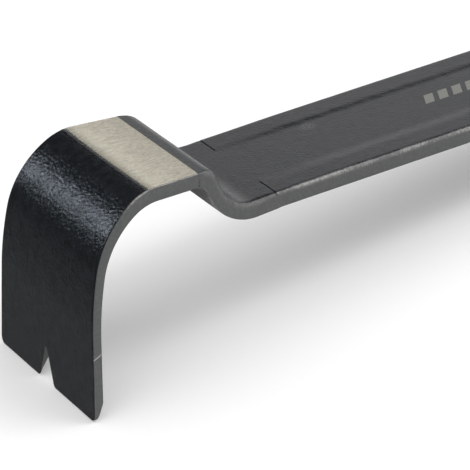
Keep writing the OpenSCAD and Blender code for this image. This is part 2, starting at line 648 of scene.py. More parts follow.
@dataclass(frozen=True)
class Stain:
    """A soft ragged spot on the top of the shank, in millimetres."""

    centre: tuple[float, float]
    radius: float
    strength: float
    colour: Colour

    def mask(self, surface: Surface) -> Socket:
        """Finds the spot.

        Args:
            surface: The bar's surface.

        Returns:
            The spot's strength.
        """
        nodes = surface.nodes
        flat = nodes.add("ShaderNodeVectorMath", operation="MULTIPLY")
        nodes.join(surface.place, flat.inputs[0])
        flat.inputs[1].default_value = (1.0, 1.0, 0.0)
        apart = nodes.add("ShaderNodeVectorMath", operation="DISTANCE")
        nodes.join(flat.outputs["Vector"], apart.inputs[0])
        apart.inputs[1].default_value = (*self.centre, 0.0)
        soft = nodes.ramp(apart.outputs["Value"], 0.3 * self.radius, self.radius, self.strength, 0.0)
        return nodes.times(soft, nodes.ramp(surface.noise(1.4, 3.0), 0.4, 0.6, 0.2, 1.0))


@dataclass(frozen=True)
class Marking:
    """A plain row of slanted bars, the mark of no maker, in millimetres."""

    start: float = 60.0
    end: float = 104.0
    low: float = -0.9
    high: float = 4.5
    half_pitch: float = 2.3
    half_gap: float = 0.75
    lean: float = 0.45
    soft: float = 0.2
    colour: Colour = (0.15, 0.15, 0.135)

    def mask(self, surface: Surface) -> Socket:
        """Finds the bars.

        Args:
            surface: The bar's surface.

        Returns:
            About 1 on a bar and 0 beside it.
        """
        nodes = surface.nodes
        x, y, z = nodes.axes(surface.place)
        leant = nodes.math("SUBTRACT", x, nodes.times(y, self.lean))
        step = nodes.math("PINGPONG", nodes.math("SUBTRACT", leant, self.start), self.half_pitch)
        bars = nodes.ramp(step, self.half_gap, self.half_gap + 0.15)
        band = nodes.within(y, self.low, self.high, self.soft)
        row = nodes.within(leant, self.start, self.end, self.soft)
        on_top = nodes.ramp(z, -0.4, -0.3)
        grain = nodes.ramp(surface.noise(3.0, 3.0), 0.25, 0.6, 0.7, 1.0)
        return nodes.times(bars, band, row, on_top, grain)


@dataclass(frozen=True)
class BarFinish:
    """Black coating over forged steel, with trimmed sides, rubbed edges and a ground face. Part of its
    lighter colour is painted light: on the sides, along the upper edges, on the nick, in the hollow under
    the crown and at the ground face's end by the bend.
    """

    name: str = "black_coating"
    coat: Colour = (0.0085, 0.0100, 0.0122)
    trimmed_and_lit: Colour = (0.075, 0.078, 0.077)
    worn_and_lit: Colour = (0.33, 0.33, 0.32)
    steel: Colour = (0.70, 0.655, 0.545)
    coat_rough: float = 0.19
    trimmed_rough: float = 0.52
    worn_and_lit_rough: float = 0.42
    steel_rough: float = 0.40
    gloss: float = 0.38
    worn_and_lit_metal: float = 0.15
    peel_size: float = 0.80
    peel_depth: float = 0.18
    side_peel: float = 0.3
    line_depth: float = 0.012
    flat_calm: float = 0.45
    nick_slant: float = 0.55
    stains: tuple[Stain, ...] = ()
    marking: Marking | None = None

    def build(self, layout: Layout) -> bpy.types.Material:
        """Makes the material.

        Args:
            layout: Where the bar lies.

        Returns:
            The material.
        """
        material = bpy.data.materials.new(self.name)
        material.use_nodes = True
        nodes = Nodes(material.node_tree)
        shader = material.node_tree.nodes["Principled BSDF"]
        surface = Surface.lying(nodes, layout)
        bare = self.bare_mask(surface)
        # Painted light: the rubbed colour also paints highlights along the upper edges and on the nick, and
        # lightens the hollow under the crown.
        wear_and_painted_light = nodes.math("MAXIMUM", self.wear_and_painted_light_mask(surface), self.nick_highlight_mask(surface, layout.bar))
        side = self.side_mask(surface)
        colour = nodes.blend(wear_and_painted_light, self.coat_colour(surface, side), self.worn_and_lit)
        colour = nodes.blend(bare, colour, self.steel_colour(surface))
        metal = nodes.math("MAXIMUM", bare, nodes.times(wear_and_painted_light, self.worn_and_lit_metal))
        nodes.join(colour, shader.inputs["Base Color"])
        nodes.join(metal, shader.inputs["Metallic"])
        shader.inputs["Specular IOR Level"].default_value = self.gloss
        nodes.join(self.roughness(surface, side, wear_and_painted_light, bare), shader.inputs["Roughness"])
        nodes.join(self.relief(surface, side, bare), shader.inputs["Normal"])
        return material

    def side_mask(self, surface: Surface) -> Socket:
        """Finds the trimmed sides, whose border wanders a little.

        Args:
            surface: The bar's surface.

        Returns:
            1 on a side.
        """
        nodes = surface.nodes
        wander = nodes.times(nodes.math("SUBTRACT", surface.noise(1.6), 0.5), 0.25)
        return nodes.ramp(nodes.math("ADD", nodes.attribute("side"), wander), 0.3, 0.7)

    def bare_mask(self, surface: Surface) -> Socket:
        """Finds the ground face, whose border is slightly ragged.

        Args:
            surface: The bar's surface.

        Returns:
            1 on the face.
        """
        nodes = surface.nodes
        ragged = nodes.times(nodes.math("SUBTRACT", surface.noise(2.2, 3.0), 0.5), 0.22)
        return nodes.ramp(nodes.math("ADD", nodes.attribute("bare"), ragged), -0.03, 0.03)

    def wear_and_painted_light_mask(self, surface: Surface) -> Socket:
        """Rubs the coating off, in patches along the long edges. The lighter rubbed colour is also a
        painted highlight on the rounded upper edges, most on the right, and a painted lighter patch in the
        hollow under the crown.

        Args:
            surface: The bar's surface.

        Returns:
            How far it is rubbed off.
        """
        nodes = surface.nodes
        chips = nodes.times(surface.noise(1.9, 3.0, 0.65), 0.7)
        patches = nodes.times(surface.noise(0.12, 2.0), 0.5)
        level = nodes.ramp(nodes.math("ADD", chips, patches), 0.52, 0.74, 0.2, 1.0)
        return nodes.times(nodes.attribute("wear_and_painted_light"), level, clamp=True)

    def nick_highlight_mask(self, surface: Surface, bar: ForgedBar) -> Socket:
        """Finds the slanted nick in the right side of the hooked blade, whose step is painted as a bright
        line: a painted highlight.

        Args:
            surface: The bar's surface.
            bar: The shared sizes.

        Returns:
            1 on the nick, less towards the blade's inner face.
        """
        nodes = surface.nodes
        tip = bar.claw_tip()
        a = math.radians(tip.heading)
        up = surface.measured(Vector((-math.cos(a), 0.0, -math.sin(a))), tip)
        inside = surface.measured(Vector((-math.sin(a), 0.0, math.cos(a))), tip)
        line = nodes.math("SUBTRACT", up, nodes.times(inside, self.nick_slant))
        off = nodes.math("ABSOLUTE", nodes.math("SUBTRACT", line, bar.nick_up))
        near = nodes.ramp(off, 0.10, 0.26, 1.0, 0.0)
        faded = nodes.times(nodes.ramp(inside, 1.2, 3.0, 3.0, 0.5), surface.noise(1.2, 2.0), clamp=True)
        right = nodes.ramp(nodes.axes(surface.place)[1], -26.0, -25.0, 1.0, 0.0)
        flank = nodes.times(right, nodes.ramp(nodes.attribute("side"), 0.2, 0.6))
        return nodes.times(near, faded, flank)

    def coat_colour(self, surface: Surface, side: Socket) -> Socket:
        """Colours the coating, greyer on the trimmed sides, a grey that also stands in for the light the
        sides catch (painted light), and mottled all over.

        Args:
            surface: The bar's surface.
            side: 1 on the trimmed sides.

        Returns:
            The colour.
        """
        nodes = surface.nodes
        mottle = nodes.ramp(surface.noise(0.35, 4.0, 0.6), 0.3, 0.7)
        fine = nodes.ramp(surface.noise(1.3, 3.0, 0.6), 0.3, 0.72)
        broad = nodes.blend(mottle, shaded(self.coat, 0.72), shaded(self.coat, 1.35))
        grey = nodes.blend(fine, shaded(self.trimmed_and_lit, 0.88), shaded(self.trimmed_and_lit, 1.10))
        # Painted light: the sides' lighter grey also stands in for the light that falls on them.
        colour = nodes.blend(side, broad, grey)
        for spot in self.stains:
            colour = nodes.blend(spot.mask(surface), colour, spot.colour)
        if self.marking:
            colour = nodes.blend(self.marking.mask(surface), colour, self.marking.colour)
        return colour

    def steel_colour(self, surface: Surface) -> Socket:
        """Colours the ground steel, with fine lines along the bar, and paints it lighter towards the bend:
        a painted reflection.

        Args:
            surface: The bar's surface.

        Returns:
            The colour.
        """
        nodes = surface.nodes
        lines = nodes.ramp(surface.ground_lines(1.0, 5.0), 0.3, 0.7)
        streaked = nodes.blend(lines, shaded(self.steel, 0.76), shaded(self.steel, 1.16))
        grit = nodes.ramp(surface.noise(1.5, 2.0, 0.7), 0.3, 0.7, 0.88, 1.10)
        # Painted reflection: the steel's colour is scaled up to 1.42 towards the face's end at the bend.
        along = nodes.axes(surface.place)[0]
        node = nodes.add("ShaderNodeVectorMath", operation="SCALE")
        nodes.join(streaked, node.inputs[0])
        nodes.join(nodes.times(grit, nodes.ramp(along, -40.0, -24.0, 1.42, 1.06)), node.inputs["Scale"])
        return node.outputs["Vector"]

    def roughness(self, surface: Surface, side: Socket, wear_and_painted_light: Socket, bare: Socket) -> Socket:
        """Roughens coating, sides, chips and ground steel.

        Args:
            surface: The bar's surface.
            side: 1 on the trimmed sides.
            wear_and_painted_light: How far the coating is rubbed off, and where painted light lies.
            bare: 1 on the ground face.

        Returns:
            The roughness.
        """
        nodes = surface.nodes
        patchy = nodes.ramp(surface.noise(0.5, 3.0), 0.3, 0.7, -0.04, 0.05)
        value = nodes.ramp(side, 0.0, 1.0, self.coat_rough, self.trimmed_rough)
        value = nodes.math("ADD", value, patchy)
        for mask, level in ((wear_and_painted_light, self.worn_and_lit_rough), (bare, self.steel_rough)):
            keep = nodes.times(value, nodes.math("SUBTRACT", 1.0, mask))
            value = nodes.math("ADD", keep, nodes.times(mask, level))
        return value

    def relief(self, surface: Surface, side: Socket, bare: Socket) -> Socket:
        """Makes the surface's fine relief: pebbled coating and scratched steel.

        Args:
            surface: The bar's surface.
            side: 1 on the trimmed sides.
            bare: 1 on the ground face.

        Returns:
            The surface's direction.
        """
        nodes = surface.nodes
        peel = surface.noise(1.0 / self.peel_size, 2.0, 0.55)
        calm = nodes.ramp(nodes.axes(surface.place)[0], -34.0, -20.0, 1.0, self.flat_calm)
        deep = nodes.ramp(side, 0.0, 1.0, self.peel_depth, self.side_peel * self.peel_depth)
        covered = nodes.times(peel, calm, deep, nodes.math("SUBTRACT", 1.0, bare))
        scratched = nodes.times(surface.ground_lines(1.6, 4.0), self.line_depth, bare)
        bump = nodes.add("ShaderNodeBump")
        bump.inputs["Strength"].default_value = 1.0
        bump.inputs["Distance"].default_value = MM
        nodes.join(nodes.math("ADD", covered, scratched), bump.inputs["Height"])
        return bump.outputs["Normal"]


SHANK_STAINS = (
    Stain((27.5, 9.0), 3.2, 0.35, (0.12, 0.12, 0.12)),
    Stain((54.0, -2.2), 0.9, 1.0, (0.001, 0.001, 0.001)),
)


@dataclass(frozen=True)
class FloorFinish:
    """Plain pale floor, which glows faintly: painted light that lifts the shadows on it."""

    colour: Colour = (0.80, 0.80, 0.80)
    glow: float = 0.16

    def build(self) -> bpy.types.Material:
        """Makes the material, with a faint mottle.

        Returns:
            The material.
        """
        material = bpy.data.materials.new("pale_floor")
        material.use_nodes = True
        nodes = Nodes(material.node_tree)
        shader = material.node_tree.nodes["Principled BSDF"]
        shader.inputs["Roughness"].default_value = 0.9
        shader.inputs["Specular IOR Level"].default_value = 0.1
        # Painted light: the floor's faint glow lifts the shadows on it.
        shader.inputs["Emission Color"].default_value = (1.0, 1.0, 1.0, 1.0)
        shader.inputs["Emission Strength"].default_value = self.glow
        place = nodes.add("ShaderNodeTexCoord").outputs["Object"]
        colour = nodes.blend(nodes.noise(place, 3.0), shaded(self.colour, 0.985), self.colour)
        nodes.join(colour, shader.inputs["Base Color"])
        return material


# ---------------------------------------------------------------- forging


def rounded(bm: bmesh.types.BMesh, edges: list[bmesh.types.BMEdge], radius: float,
            segments: int, clamp: bool = False) -> None:
    """Rounds edges.

    Args:
        bm: The mesh.
        edges: The edges.
        radius: The rounding's radius.
        segments: Its number of steps.
        clamp: Whether it stops short of its neighbours.
    """
    bmesh.ops.bevel(bm, geom=edges, offset=radius, offset_type="OFFSET", segments=segments,
                    profile=0.5, affect="EDGES", clamp_overlap=clamp, material=-1)


def dress_layers(bm: bmesh.types.BMesh) -> list[bmesh.types.BMLayerItem]:
    """Adds the three values that the bar's finish reads at each point: side, wear and bare. The first two
    also carry painted light.
    """
    return [bm.verts.layers.float.new(name) for name in ("side", "wear_and_painted_light", "bare")]


def closing(end: float, reach: float) -> list[float]:
    """Returns places that draw closer together over a distance before an end."""
    return [end - reach * (1 - math.sin(math.radians(9 * i))) for i in range(11)]


@dataclass
class Stock:
    """Straight stock with rounded long edges: rings apart by 1 along x, real sizes across."""

    rings: int
    lanes: int
    width: float = 45.0
    thickness: float = 4.7
    corner: float = 1.0
    corner_steps: int = 5

    def build(self) -> bmesh.types.BMesh:
        """Makes the stock.

        Returns:
            The mesh, with x from 0 to rings - 1, y about 0 and its top at z = 0.
        """
        bm = bmesh.new()
        bmesh.ops.create_cube(bm, size=1.0)
        length = self.rings - 1
        bmesh.ops.scale(bm, vec=(length, self.width, self.thickness), verts=bm.verts)
        bmesh.ops.translate(bm, vec=(length / 2, 0.0, -self.thickness / 2), verts=bm.verts)
        rounded(bm, self.running(bm, 0, length), self.corner, self.corner_steps)
        flats = self.running(bm, 1, self.width / 2)
        bmesh.ops.subdivide_edges(bm, edges=flats, cuts=self.lanes - 1, use_grid_fill=True)
        bmesh.ops.subdivide_edges(bm, edges=self.running(bm, 0, length), cuts=length - 1,
                                  use_grid_fill=True)
        bm.normal_update()
        return bm

    @staticmethod
    def running(bm: bmesh.types.BMesh, axis: int, least: float) -> list[bmesh.types.BMEdge]:
        """Returns the edges that run along an axis for at least a length."""
        return [e for e in bm.edges if abs(e.verts[0].co[axis] - e.verts[1].co[axis]) > least - 1e-4]


@dataclass
class Point:
    """A point of a stretch's surface, whose facing is still the straight stock's."""

    ring: Ring
    place: Vector
    across: float
    depth: float
    facing: Vector

    def upper_edge(self) -> float:
        """Returns how near the point faces to the upper edge's middle."""
        edge = 4.0 * self.facing.y * self.facing.y * self.facing.z * self.facing.z
        return edge if self.facing.z > 0 else 0.0


@dataclass
class Stretch:
    """One named stretch of the forging, bent from straight stock."""

    name: str
    bar: ForgedBar
    rings: list[Ring]
    lanes: int = 60
    slot: Slot = Slot.COATING
    side: Side | None = None
    wave: float = 0.05
    grey_from: float = 0.10
    edge_wear_and_highlight: float = 0.25

    def forge(self, layout: Layout, finish: bpy.types.Material) -> bpy.types.Object:
        """Bends the stock along the rings and dresses it.

        Args:
            layout: Where the bar lies.
            finish: The material.

        Returns:
            The finished piece.
        """
        stock = Stock(len(self.rings), self.lanes)
        bm = stock.build()
        side, wear_and_painted_light, bare = dress_layers(bm)
        for vert in bm.verts:
            point = self.bent(vert, stock)
            down = point.ring.down().normalized()
            out = Vector((0.0, point.facing.y * self.sign(), 0.0)) - down * point.facing.z
            point.place = point.place + out * self.relief(point)
            vert[side] = self.side_at(point)
            vert[wear_and_painted_light] = self.wear_and_painted_light_at(point)
            vert[bare] = self.bare_at(point)
            vert.co = layout.laid(point.place)
        self.finish_mesh(bm)
        return self.placed(bm, finish)

    def sign(self) -> float:
        """Returns -1 for a piece on the right side and 1 for all others."""
        return -1.0 if self.side is Side.RIGHT else 1.0

    def bent(self, vert: bmesh.types.BMVert, stock: Stock) -> Point:
        """Carries a point of the stock to its ring.

        Args:
            vert: The point in the stock.
            stock: The stock's sizes.

        Returns:
            The point in the bar's frame.
        """
        ring = self.rings[min(len(self.rings) - 1, max(0, round(vert.co.x)))]
        down = ring.down()
        thick = down.length
        upper = -vert.co.z < stock.thickness / 2
        depth = self.fitted(-vert.co.z, stock.thickness, stock.corner, thick,
                            ring.round_top, ring.round_under)
        place = Vector((ring.top.x, 0.0, ring.top.z)) + down * (depth / thick)
        high = self.bar.half_width(place.x, place.z) - ring.pulled_in
        low = -high if ring.slot_edge is None else ring.slot_side(depth / thick)
        corner = ring.round_top if upper else ring.round_under
        across = low + self.fitted(vert.co.y + stock.width / 2, stock.width, stock.corner,
                                   high - low, corner, corner)
        across *= self.sign()
        place.y = across
        place += ring.forward() * self.slid(ring, across)
        facing = Vector((0.0, vert.normal.y, vert.normal.z)).normalized()
        return Point(ring, place, across, depth / thick, facing)

    @staticmethod
    def fitted(value: float, span: float, corner: float, new_span: float,
               low: float, high: float) -> float:
        """Fits a distance across the stock to a new span, keeping its two corners round.

        Args:
            value: The distance in the stock.
            span: The stock's span.
            corner: The stock's corner radius.
            new_span: The span it becomes.
            low: Corner radius that it gets at the start.
            high: Corner radius that it gets at the end.

        Returns:
            The new distance.
        """
        if value <= corner:
            return value * low / corner
        if value >= span - corner:
            return new_span - (span - value) * high / corner
        return between(low, new_span - high, (value - corner) / (span - 2 * corner))

    def slid(self, ring: Ring, across: float) -> float:
        """Returns how far a ring's bowed line is drawn along the bar at a place across it."""
        return ring.shift * (1.0 - (across / 25.0) ** 2)

    def relief(self, point: Point) -> float:
        """Returns how far the surface stands out, which the forging's slight waves make negative."""
        broad = noise.noise(point.place * 0.11) * 0.6 + noise.noise(point.place * 0.31) * 0.4
        return -self.wave * (0.5 + 0.5 * broad)

    def side_at(self, point: Point) -> float:
        """Finds the greyer, trimmed finish, whose lighter grey also stands in for the light the sides catch
        (painted light).

        Args:
            point: A point of the surface.

        Returns:
            How much of that finish it has.
        """
        steep = point.facing.y * point.facing.y
        if point.facing.z > 0:
            return eased(self.grey_from, self.grey_from + 0.32, steep)
        return eased(0.45, 0.8, steep)

    def wear_and_painted_light_at(self, point: Point) -> float:
        """Returns how far a point is rubbed, which is most at the upper long edges; the lighter rubbed
        colour there is also a painted highlight.
        """
        return self.edge_wear_and_highlight * point.upper_edge()

    def bare_at(self, point: Point) -> float:
        """Returns how far inside the ground face a point is, in millimetres."""
        return -1.0

    def finish_mesh(self, bm: bmesh.types.BMesh) -> None:
        """Turns the faces outwards and shades them smooth.

        Args:
            bm: The mesh.
        """
        bmesh.ops.recalc_face_normals(bm, faces=bm.faces)
        for face in bm.faces:
            face.smooth = True

    def placed(self, bm: bmesh.types.BMesh, finish: bpy.types.Material) -> bpy.types.Object:
        """Makes the object and ties it to the frame.

        Args:
            bm: The mesh, in the row's frame.
            finish: The material.

        Returns:
            The object.
        """
        mesh = bpy.data.meshes.new(self.name)
        bm.to_mesh(mesh)
        bm.free()
        mesh.set_sharp_from_angle(angle=math.radians(40.0))
        mesh.materials.append(finish)
        piece = bpy.data.objects.new("forged_" + self.name, mesh)
        bpy.context.scene.collection.objects.link(piece)
        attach(piece, BODY)
        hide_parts(self.name)
        LOG.info("%s: %d faces", piece.name, len(mesh.polygons))
        return piece


def steps(start: float, end: float, pitch: float) -> list[float]:
    """Divides a distance evenly.

    Args:
        start: Its start.
        end: Its end.
        pitch: The largest step.

    Returns:
        The places, both ends among them.
    """
    count = max(1, math.ceil(abs(end - start) / pitch - 1e-9))
    return [between(start, end, i / count) for i in range(count + 1)]


@dataclass
class NeckStretch(Stretch):
    """The gooseneck, with the short cuts that end the shank's ribs."""

    cut_len: float = 0.30
    cut_fade: float = 0.12
    cut_depth: float = 0.24
    hollow_from: float = 8.0
    hollow_to: float = 14.0

    def relief(self, point: Point) -> float:
        """Adds the two cuts across the rib ends to the forging's waves.

        Args:
            point: A point of the surface.

        Returns:
            How far it stands out.
        """
        inner = self.bar.shank_w / 2 - self.bar.rib_w
        cut = eased(self.cut_len + self.cut_fade, self.cut_len, point.ring.along)
        cut *= eased(inner - 0.3, inner + 0.3, abs(point.across))
        return super().relief(point) - self.cut_depth * cut * max(0.0, point.facing.z)

    def hollow(self, point: Point) -> float:
        """Returns 1 in the hollow under the crown."""
        return eased(0.2, 0.8, -point.facing.z) * eased(self.hollow_from, self.hollow_to, point.ring.along)

    def side_at(self, point: Point) -> float:
        """Returns the sides' finish, a little darker, and greys the hollow under the crown with painted
        light, standing in for the floor's light reflected into it.
        """
        return max(0.85 * super().side_at(point), self.hollow(point))

    def wear_and_painted_light_at(self, point: Point) -> float:
        """Returns the corners' soft rubbing, partly a painted highlight on the rounded corners, and a
        painted lighter patch in the hollow, standing in for the floor's light reflected into it.
        """
        return max(1.4 * super().wear_and_painted_light_at(point), 0.75 * self.hollow(point))


@dataclass
class FaceStretch(Stretch):
    """The ground striking face, with a fine chamfer at its border with the bend."""

    ground_off: float = 0.07
    chamfer: float = 0.07
    chamfer_len: float = 0.30
    coated_edge: float = 0.28

    def relief(self, point: Point) -> float:
        """Keeps the ground face flat and breaks its far border down to the bend.

        Args:
            point: A point of the surface.

        Returns:
            How far it stands out.
        """
        if point.facing.z <= 0:
            return super().relief(point)
        border = self.bar.ground_len() - point.ring.along
        return -self.ground_off - self.chamfer * eased(self.chamfer_len, 0.0, border) * point.facing.z

    def wear_and_painted_light_at(self, point: Point) -> float:
        """Returns the edges' rubbing, with chips on the right edge, whose lighter colour is partly a
        painted highlight.
        """
        return super().wear_and_painted_light_at(point) * (5.0 if point.across < 0 else 2.0)

    def bare_at(self, point: Point) -> float:
        """Bares the whole top up to the corners.

        Args:
            point: A point of the surface.

        Returns:
            How far inside the ground face it is.
        """
        if point.facing.z <= 0:
            return -1.0
        half = self.bar.half_width(point.place.x, point.place.z)
        return half - self.coated_edge - abs(point.across)


@dataclass
class BendStretch(Stretch):
    """The hook's bend, with the coating's low ridge beside the ground face."""

    ridge: float = 0.06
    border_depth: float = 0.08

    def relief(self, point: Point) -> float:
        """Adds the ridge of coating to the forging's waves.

        Args:
            point: A point of the surface.

        Returns:
            How far it stands out.
        """
        wave = super().relief(point)
        if point.facing.z <= 0:
            return wave
        gone = point.ring.along - self.bar.ground_len()
        raised = self.ridge * (eased(0.48, 0.68, gone) * eased(1.00, 0.72, gone)) * point.facing.z
        start = eased(0.6, 0.0, gone)
        return min(-0.015, wave * (1.0 - start) - self.border_depth * start + raised)

    def wear_and_painted_light_at(self, point: Point) -> float:
        """Returns the edges' rubbing, with chips on the right edge just below the ground face, whose
        lighter colour is partly a painted highlight.
        """
        fresh = eased(13.0, 3.0, point.ring.along - self.bar.ground_len())
        return super().wear_and_painted_light_at(point) * (6.0 * fresh if point.across < 0 else 0.4)


@dataclass
class RibbedStretch(Stretch):
    """The shank, with a low rib along each edge."""

    left_reach: float = 1.5
    right_reach: float = 2.8
    rib_lead: float = 26.0
    rib_start: float = 0.25

    def relief(self, point: Point) -> float:
        """Raises the ribs above the shank's waves.

        Args:
            point: A point of the surface.

        Returns:
            How far it stands out.
        """
        left = point.across > 0
        inner = self.bar.shank_w / 2 - self.bar.rib_w
        x = point.place.x
        wander = 0.5 * noise.noise(Vector((x * 0.25, 7.0 if left else 0.0, 0.0)))
        wander += 0.4 * noise.noise(Vector((x * 0.9, point.across * 0.9, 3.0)))
        reach = self.left_reach if left else self.right_reach
        rise = eased(inner - reach, inner + reach, abs(point.across) + wander)
        height = self.bar.rib_h * between(self.rib_start, 1.0, eased(0.0, self.rib_lead, x))
        return super().relief(point) + height * rise * max(0.0, point.facing.z)

    def wear_and_painted_light_at(self, point: Point) -> float:
        """Returns the edges' rubbing, more on the right edge than on the left, where its lighter colour is
        partly a painted highlight.
        """
        return super().wear_and_painted_light_at(point) * (3.6 if point.across < 0 else 0.6)


@dataclass
class SlottedStretch(Stretch):
    """A blade whose end is notched by the round root of a nail slot."""

    root: float = 0.9
    centre: float = 0.0
    nick_at: float = 1000.0
    nick_depth: float = 0.3

    def relief(self, point: Point) -> float:
        """Sets the hooked blade's right side in below the nick, most at the outer face.

        Args:
            point: A point of the surface.

        Returns:
            How far it stands out.
        """
        flank = max(0.0, abs(point.facing.y) - 0.2) if point.across < -20 else 0.0
        below = eased(-0.3, 0.3, point.ring.along - self.nick_at)
        return super().relief(point) - self.nick_depth * flank * below * (1.0 - 0.6 * point.depth)

    def slid(self, ring: Ring, across: float) -> float:
        """Draws the last rings back round the slot's root.

        Args:
            ring: The ring.
            across: A place across the bar.

        Returns:
            How far the ring's line is drawn along the bar there.
        """
        off = across - self.centre
        if ring.shift == 0 or abs(off) >= self.root:
            return 0.0
        return -ring.shift * math.sqrt(self.root * self.root - off * off)


# ---------------------------------------------------------------- sub-assemblies


@dataclass
class Head:
    """The gooseneck, the ground face, the hook and its claw."""

    bar: ForgedBar
    layout: Layout
    coating: bpy.types.Material
    edge_round: float = 1.15
    neck_round: float = 1.9
    face_round: float = 0.35
    hook_round: float = 0.55
    blade_round: float = 0.5
    under_round: float = 0.45
    border_bow: float = 0.35
    slot_splay: float = 1.7
    claw_root: float = 0.4
    slot_off: float = 0.6
    tip_corner: float = 2.1
    slot_corner: float = 1.0
    search: float = 12.0

    def build(self) -> None:
        """Builds the six stretches of the head."""
        self.neck().forge(self.layout, self.coating)
        self.face().forge(self.layout, self.coating)
        self.hook().forge(self.layout, self.coating)
        self.blade().forge(self.layout, self.coating)
        for side in Side:
            self.claw(side).forge(self.layout, self.coating)

    def neck(self) -> Stretch:
        """Makes the gooseneck, whose two outlines turn together leg by leg.

        Returns:
            The stretch.
        """
        top, under = self.bar.top(), self.bar.under()
        rings = []
        gone = 0.0
        for number in range(FACE_LEG):
            leg = top.legs[number]
            pitch = 0.5 if leg.turn == 0 else min(0.5, leg.length() / 20)
            places = steps(0.0, leg.length(), pitch)
            if number == 0:
                places = sorted(set(places + [0.12, 0.22, 0.3, 0.36, 0.42, 0.7]))
            for place in places if number == FACE_LEG - 1 else places[:-1]:
                share = place / leg.length()
                rings.append(self.neck_ring(top.at(number, share), under.at(number, share), gone + place))
            gone += leg.length()
        return NeckStretch("gooseneck", self.bar, rings)

    def neck_ring(self, top: Place, under: Place, along: float) -> Ring:
        """Makes a ring of the gooseneck, less rounded as it reaches the ground face.

        Args:
            top: The ring's place on the top outline.
            under: Its place on the lower outline.
            along: Distance from the ribs' end.

        Returns:
            The ring.
        """
        last = sum(leg.length() for leg in self.bar.top().legs[:FACE_LEG])
        rounding = between(self.neck_round, self.face_round, eased(last - 4.0, last, along))
        rounding = between(self.edge_round, rounding, eased(0.0, 5.0, along))
        return Ring(top, under, along, rounding, self.under_round)

    def square_ring(self, along: float, rounding: float, shift: float = 0.0) -> Ring:
        """Makes a ring square to the top outline.

        Args:
            along: Distance from the face's start.
            rounding: Radius of the upper edges.
            shift: How far the ring bows along the bar.

        Returns:
            The ring.
        """
        top = self.bar.top().reached(FACE_LEG, along)
        under = self.bar.under().opposite(top, FACE_LEG, along + self.search)
        return Ring(top, under, along, rounding, self.under_round, shift=shift)

    def bowed(self, along: float) -> float:
        """Returns how far the ground face's far border bows, which fades away from it."""
        return self.border_bow * eased(4.0, 0.0, abs(along - self.bar.ground_len()))

    def face(self) -> Stretch:
        """Makes the ground face, with close rings at its far border.

        Returns:
            The stretch.
        """
        end = self.bar.ground_len()
        places = steps(0.0, end - 0.5, 0.6) + steps(end - 0.4, end, 0.08)
        rings = [self.square_ring(p, self.face_round, self.bowed(p)) for p in places]
        return FaceStretch("striking_face", self.bar, rings, slot=Slot.STEEL)

    def hook_end(self) -> float:
        """Returns the distance from the face's start to the end of the bend's stretch."""
        legs = self.bar.top().legs[FACE_LEG:BLADE_LEG]
        return sum(leg.length() for leg in legs) + self.bar.blade_root

    def hook(self) -> Stretch:
        """Makes the bend, down to the straight blade.

        Returns:
            The stretch.
        """
        start, end = self.bar.ground_len(), self.hook_end()
        places = steps(start, start + 1.4, 0.07)[:-1] + steps(start + 1.4, end, 0.6)
        rings = []
        for place in places:
            rounding = between(self.face_round, self.hook_round, eased(start, start + 2.0, place))
            rounding = between(rounding, self.blade_round, eased(end - 20.0, end, place))
            rings.append(self.square_ring(place, rounding, self.bowed(place)))
        return BendStretch("hook_bend", self.bar, rings, grey_from=0.35)

    def tip_at(self) -> float:
        """Returns the distance from the face's start to the claw's tips."""
        return self.hook_end() - self.bar.blade_root + self.bar.blade_len

    def blade_ring(self, along: float, **extra: float) -> Ring:
        """Makes a ring of the straight blade, thinned by the bevel inside its tips.

        Args:
            along: Distance from the face's start.
            extra: Further values of the ring.

        Returns:
            The ring.
        """
        top = self.bar.top().reached(FACE_LEG, along)
        left = self.tip_at() - along
        if left > self.bar.tip_bevel:
            under = self.bar.under().opposite(top, FACE_LEG, along + self.search)
        else:
            under = top.inside(between(self.bar.tip_t, self.depth_at_bevel(), left / self.bar.tip_bevel))
        thick = math.hypot(under.x - top.x, under.z - top.z)
        small = min(self.under_round, 0.32 * thick)
        return Ring(top, under, along, min(self.blade_round, small), small, **extra)

    def depth_at_bevel(self) -> float:
        """Measures the blade where the bevel starts.

        Returns:
            Its thickness.
        """
        top = self.bar.claw_tip().ahead(-self.bar.tip_bevel)
        under = self.bar.under().at(BLADE_LEG + 1)
        return math.hypot(under.x - top.x, under.z - top.z)

    def split_at(self) -> float:
        """Returns the distance from the face's start to the centre of the slot's root."""
        return self.tip_at() - self.bar.claw_slot_len + self.claw_root

    def blade(self) -> Stretch:
        """Makes the hooked blade down to the slot's root.

        Returns:
            The stretch.
        """
        split, root = self.split_at(), self.claw_root
        rings = [self.blade_ring(p) for p in steps(self.hook_end(), split - 2 * root, 0.6)]
        for share in ROOT_SHARES:
            rings.append(self.blade_ring(split - 2 * root * (1 - share), shift=share))
        return SlottedStretch("claw_blade", self.bar, rings, lanes=240, root=root, centre=self.slot_off,
                              grey_from=0.4, nick_at=self.tip_at() - self.bar.nick_up)

    def claw(self, side: Side) -> Stretch:
        """Returns one claw.

        Args:
            side: The side it is on.

        Returns:
            The stretch.
        """
        split, tip = self.split_at(), self.tip_at()
        off = side.value * self.slot_off
        rings = []
        for place in steps(split, tip - 1.25, 0.5) + closing(tip, 1.2):
            share = (place - split) / (tip - split)
            edge = between(self.claw_root + off, self.bar.claw_slot_w / 2, share)
            rings.append(self.blade_ring(
                place, slot_edge=edge, splay=self.slot_splay * eased(0.0, 0.5, share),
                pulled_in=self.plan_round(tip - place, self.tip_corner),
                slot_opened=self.plan_round(tip - place, self.slot_corner)))
        name = "left_claw" if side is Side.LEFT else "right_claw"
        return SlottedStretch(name, self.bar, rings, lanes=34, side=side, grey_from=0.4,
                              nick_at=self.tip_at() - self.bar.nick_up)

    @staticmethod
    def plan_round(left: float, radius: float) -> float:
        """Returns how far a rounded corner pulls an edge in, near the end of the blade.

        Args:
            left: Distance to the end.
            radius: The corner's radius.

        Returns:
            The distance.
        """
        if left >= radius:
            return 0.0
        return radius - math.sqrt(max(0.0, radius * radius - (radius - left) ** 2))


